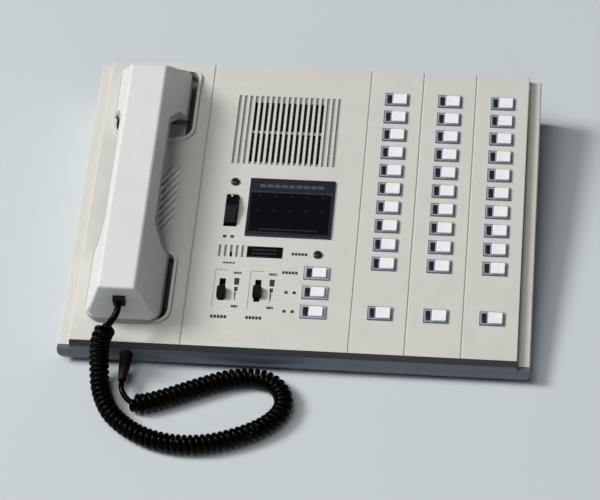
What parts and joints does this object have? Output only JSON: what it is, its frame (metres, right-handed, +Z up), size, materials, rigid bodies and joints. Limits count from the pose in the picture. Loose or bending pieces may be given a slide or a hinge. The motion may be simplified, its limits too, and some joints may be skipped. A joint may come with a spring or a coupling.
{
  "type": "nurse call master station",
  "caption": "Low sloping desk console with a corded handset in a cradle, speaker grille, display, talk lever, volume slides and rows of call keys.",
  "frame": {"origin": "middle of the footprint of the console without its cord, on the surface it stands on", "axes": "+Z up, +Y from the user to the back, +X to the user's right"},
  "size_m": [0.317, 0.3118, 0.0853],
  "materials": {
    "charcoal": "satin moulded plastic",
    "rubber_foot": "matt",
    "rail": "satin moulded plastic",
    "panel": "fine grained moulded plastic",
    "black_plastic": "satin",
    "display": "glossy dark window",
    "board": "laminate",
    "speaker": "paper and metal",
    "key_frame": "satin",
    "lamp": "translucent dark",
    "handset_outer": "satin gloss",
    "handset_inner": "satin gloss",
    "plug": "satin",
    "cord": "satin",
    "cord_boot": "satin",
    "key": "satin"
  },
  "bodies": {
    "console": {"base_pan": "charcoal", "feet_and_screws": "rubber_foot", "side_rails": "rail", "front_trim": "charcoal", "cradle_panel": "panel", "control_panel": "panel", "key_panels": "panel", "display_unit": "display", "circuit_boards": "board", "sound_units": "speaker", "key_frames": "key_frame", "lamp_lenses": "lamp", "curly_cord": "cord", "cord_lead_base": "cord", "base_cord_boot": "cord_boot"},
    "handset": {"handset_outer_shell": "handset_outer", "handset_inner_shell": "handset_inner", "handset_capsules": "speaker", "handset_cord_plug": "plug", "cord_lead_handset": "cord"},
    "hook": {"hook_plunger": "panel"},
    "lever": {"talk_lever": "black_plastic"},
    "left_knob": {"volume_knob_left": "black_plastic"},
    "right_knob": {"volume_knob_right": "black_plastic"},
    "station_key_01_cap": {"station_key_01": "key"},
    "station_key_02_cap": {"station_key_02": "key"},
    "station_key_03_cap": {"station_key_03": "key"},
    "station_key_04_cap": {"station_key_04": "key"},
    "station_key_05_cap": {"station_key_05": "key"},
    "station_key_06_cap": {"station_key_06": "key"},
    "station_key_07_cap": {"station_key_07": "key"},
    "station_key_08_cap": {"station_key_08": "key"},
    "station_key_09_cap": {"station_key_09": "key"},
    "station_key_10_cap": {"station_key_10": "key"},
    "station_key_11_cap": {"station_key_11": "key"},
    "station_key_12_cap": {"station_key_12": "key"},
    "station_key_13_cap": {"station_key_13": "key"},
    "station_key_14_cap": {"station_key_14": "key"},
    "station_key_15_cap": {"station_key_15": "key"},
    "station_key_16_cap": {"station_key_16": "key"},
    "station_key_17_cap": {"station_key_17": "key"},
    "station_key_18_cap": {"station_key_18": "key"},
    "station_key_19_cap": {"station_key_19": "key"},
    "station_key_20_cap": {"station_key_20": "key"},
    "station_key_21_cap": {"station_key_21": "key"},
    "station_key_22_cap": {"station_key_22": "key"},
    "station_key_23_cap": {"station_key_23": "key"},
    "station_key_24_cap": {"station_key_24": "key"},
    "station_key_25_cap": {"station_key_25": "key"},
    "station_key_26_cap": {"station_key_26": "key"},
    "station_key_27_cap": {"station_key_27": "key"},
    "station_key_28_cap": {"station_key_28": "key"},
    "station_key_29_cap": {"station_key_29": "key"},
    "station_key_30_cap": {"station_key_30": "key"},
    "station_key_31_cap": {"station_key_31": "key"},
    "station_key_32_cap": {"station_key_32": "key"},
    "station_key_33_cap": {"station_key_33": "key"},
    "function_key_1_cap": {"function_key_1": "key"},
    "function_key_2_cap": {"function_key_2": "key"},
    "function_key_3_cap": {"function_key_3": "key"}
  },
  "joints": [
    {"name": "handset_lift", "type": "slide", "parent": "console", "child": "handset", "axis": [0, -0.1219, 0.9925], "range_m": [0, 0.06]},
    {"name": "hook_plunger_slide", "type": "slide", "parent": "console", "child": "hook", "axis": [0, -0.1219, 0.9925], "range_m": [0, 0.003]},
    {"name": "talk_lever_rock", "type": "hinge", "parent": "console", "child": "lever", "pos_m": [-0.0513, -0.00525, 0.02884], "axis": [1, 0, 0], "range_deg": [0, 8], "stiffness_Nm_per_rad": 0.08, "springref_deg": -2.86},
    {"name": "left_volume_slide", "type": "slide", "parent": "console", "child": "left_knob", "axis": [0, 0.9925, 0.1219], "range_m": [-0.0035, 0.0107]},
    {"name": "right_volume_slide", "type": "slide", "parent": "console", "child": "right_knob", "axis": [0, 0.9925, 0.1219], "range_m": [-0.005, 0.0092]},
    {"name": "station_key_01_press", "type": "slide", "parent": "console", "child": "station_key_01_cap", "axis": [0, 0.1219, -0.9925], "range_m": [0, 0.0012], "stiffness_N_per_m": 300, "springref_m": -0.0006},
    {"name": "station_key_02_press", "type": "slide", "parent": "console", "child": "station_key_02_cap", "axis": [0, 0.1219, -0.9925], "range_m": [0, 0.0012], "stiffness_N_per_m": 300, "springref_m": -0.0006},
    {"name": "station_key_03_press", "type": "slide", "parent": "console", "child": "station_key_03_cap", "axis": [0, 0.1219, -0.9925], "range_m": [0, 0.0012], "stiffness_N_per_m": 300, "springref_m": -0.0006},
    {"name": "station_key_04_press", "type": "slide", "parent": "console", "child": "station_key_04_cap", "axis": [0, 0.1219, -0.9925], "range_m": [0, 0.0012], "stiffness_N_per_m": 300, "springref_m": -0.0006},
    {"name": "station_key_05_press", "type": "slide", "parent": "console", "child": "station_key_05_cap", "axis": [0, 0.1219, -0.9925], "range_m": [0, 0.0012], "stiffness_N_per_m": 300, "springref_m": -0.0006},
    {"name": "station_key_06_press", "type": "slide", "parent": "console", "child": "station_key_06_cap", "axis": [0, 0.1219, -0.9925], "range_m": [0, 0.0012], "stiffness_N_per_m": 300, "springref_m": -0.0006},
    {"name": "station_key_07_press", "type": "slide", "parent": "console", "child": "station_key_07_cap", "axis": [0, 0.1219, -0.9925], "range_m": [0, 0.0012], "stiffness_N_per_m": 300, "springref_m": -0.0006},
    {"name": "station_key_08_press", "type": "slide", "parent": "console", "child": "station_key_08_cap", "axis": [0, 0.1219, -0.9925], "range_m": [0, 0.0012], "stiffness_N_per_m": 300, "springref_m": -0.0006},
    {"name": "station_key_09_press", "type": "slide", "parent": "console", "child": "station_key_09_cap", "axis": [0, 0.1219, -0.9925], "range_m": [0, 0.0012], "stiffness_N_per_m": 300, "springref_m": -0.0006},
    {"name": "station_key_10_press", "type": "slide", "parent": "console", "child": "station_key_10_cap", "axis": [0, 0.1219, -0.9925], "range_m": [0, 0.0012], "stiffness_N_per_m": 300, "springref_m": -0.0006},
    {"name": "station_key_11_press", "type": "slide", "parent": "console", "child": "station_key_11_cap", "axis": [0, 0.1219, -0.9925], "range_m": [0, 0.0012], "stiffness_N_per_m": 300, "springref_m": -0.0006},
    {"name": "station_key_12_press", "type": "slide", "parent": "console", "child": "station_key_12_cap", "axis": [0, 0.1219, -0.9925], "range_m": [0, 0.0012], "stiffness_N_per_m": 300, "springref_m": -0.0006},
    {"name": "station_key_13_press", "type": "slide", "parent": "console", "child": "station_key_13_cap", "axis": [0, 0.1219, -0.9925], "range_m": [0, 0.0012], "stiffness_N_per_m": 300, "springref_m": -0.0006},
    {"name": "station_key_14_press", "type": "slide", "parent": "console", "child": "station_key_14_cap", "axis": [0, 0.1219, -0.9925], "range_m": [0, 0.0012], "stiffness_N_per_m": 300, "springref_m": -0.0006},
    {"name": "station_key_15_press", "type": "slide", "parent": "console", "child": "station_key_15_cap", "axis": [0, 0.1219, -0.9925], "range_m": [0, 0.0012], "stiffness_N_per_m": 300, "springref_m": -0.0006},
    {"name": "station_key_16_press", "type": "slide", "parent": "console", "child": "station_key_16_cap", "axis": [0, 0.1219, -0.9925], "range_m": [0, 0.0012], "stiffness_N_per_m": 300, "springref_m": -0.0006},
    {"name": "station_key_17_press", "type": "slide", "parent": "console", "child": "station_key_17_cap", "axis": [0, 0.1219, -0.9925], "range_m": [0, 0.0012], "stiffness_N_per_m": 300, "springref_m": -0.0006},
    {"name": "station_key_18_press", "type": "slide", "parent": "console", "child": "station_key_18_cap", "axis": [0, 0.1219, -0.9925], "range_m": [0, 0.0012], "stiffness_N_per_m": 300, "springref_m": -0.0006},
    {"name": "station_key_19_press", "type": "slide", "parent": "console", "child": "station_key_19_cap", "axis": [0, 0.1219, -0.9925], "range_m": [0, 0.0012], "stiffness_N_per_m": 300, "springref_m": -0.0006},
    {"name": "station_key_20_press", "type": "slide", "parent": "console", "child": "station_key_20_cap", "axis": [0, 0.1219, -0.9925], "range_m": [0, 0.0012], "stiffness_N_per_m": 300, "springref_m": -0.0006},
    {"name": "station_key_21_press", "type": "slide", "parent": "console", "child": "station_key_21_cap", "axis": [0, 0.1219, -0.9925], "range_m": [0, 0.0012], "stiffness_N_per_m": 300, "springref_m": -0.0006},
    {"name": "station_key_22_press", "type": "slide", "parent": "console", "child": "station_key_22_cap", "axis": [0, 0.1219, -0.9925], "range_m": [0, 0.0012], "stiffness_N_per_m": 300, "springref_m": -0.0006},
    {"name": "station_key_23_press", "type": "slide", "parent": "console", "child": "station_key_23_cap", "axis": [0, 0.1219, -0.9925], "range_m": [0, 0.0012], "stiffness_N_per_m": 300, "springref_m": -0.0006},
    {"name": "station_key_24_press", "type": "slide", "parent": "console", "child": "station_key_24_cap", "axis": [0, 0.1219, -0.9925], "range_m": [0, 0.0012], "stiffness_N_per_m": 300, "springref_m": -0.0006},
    {"name": "station_key_25_press", "type": "slide", "parent": "console", "child": "station_key_25_cap", "axis": [0, 0.1219, -0.9925], "range_m": [0, 0.0012], "stiffness_N_per_m": 300, "springref_m": -0.0006},
    {"name": "station_key_26_press", "type": "slide", "parent": "console", "child": "station_key_26_cap", "axis": [0, 0.1219, -0.9925], "range_m": [0, 0.0012], "stiffness_N_per_m": 300, "springref_m": -0.0006},
    {"name": "station_key_27_press", "type": "slide", "parent": "console", "child": "station_key_27_cap", "axis": [0, 0.1219, -0.9925], "range_m": [0, 0.0012], "stiffness_N_per_m": 300, "springref_m": -0.0006},
    {"name": "station_key_28_press", "type": "slide", "parent": "console", "child": "station_key_28_cap", "axis": [0, 0.1219, -0.9925], "range_m": [0, 0.0012], "stiffness_N_per_m": 300, "springref_m": -0.0006},
    {"name": "station_key_29_press", "type": "slide", "parent": "console", "child": "station_key_29_cap", "axis": [0, 0.1219, -0.9925], "range_m": [0, 0.0012], "stiffness_N_per_m": 300, "springref_m": -0.0006},
    {"name": "station_key_30_press", "type": "slide", "parent": "console", "child": "station_key_30_cap", "axis": [0, 0.1219, -0.9925], "range_m": [0, 0.0012], "stiffness_N_per_m": 300, "springref_m": -0.0006},
    {"name": "station_key_31_press", "type": "slide", "parent": "console", "child": "station_key_31_cap", "axis": [0, 0.1219, -0.9925], "range_m": [0, 0.0012], "stiffness_N_per_m": 300, "springref_m": -0.0006},
    {"name": "station_key_32_press", "type": "slide", "parent": "console", "child": "station_key_32_cap", "axis": [0, 0.1219, -0.9925], "range_m": [0, 0.0012], "stiffness_N_per_m": 300, "springref_m": -0.0006},
    {"name": "station_key_33_press", "type": "slide", "parent": "console", "child": "station_key_33_cap", "axis": [0, 0.1219, -0.9925], "range_m": [0, 0.0012], "stiffness_N_per_m": 300, "springref_m": -0.0006},
    {"name": "function_key_1_press", "type": "slide", "parent": "console", "child": "function_key_1_cap", "axis": [0, 0.1219, -0.9925], "range_m": [0, 0.0012], "stiffness_N_per_m": 300, "springref_m": -0.0006},
    {"name": "function_key_2_press", "type": "slide", "parent": "console", "child": "function_key_2_cap", "axis": [0, 0.1219, -0.9925], "range_m": [0, 0.0012], "stiffness_N_per_m": 300, "springref_m": -0.0006},
    {"name": "function_key_3_press", "type": "slide", "parent": "console", "child": "function_key_3_cap", "axis": [0, 0.1219, -0.9925], "range_m": [0, 0.0012], "stiffness_N_per_m": 300, "springref_m": -0.0006}
  ],
  "couplings": [
    {"joint": "hook_plunger_slide", "follows": "handset_lift", "ratio": 0.05}
  ]
}
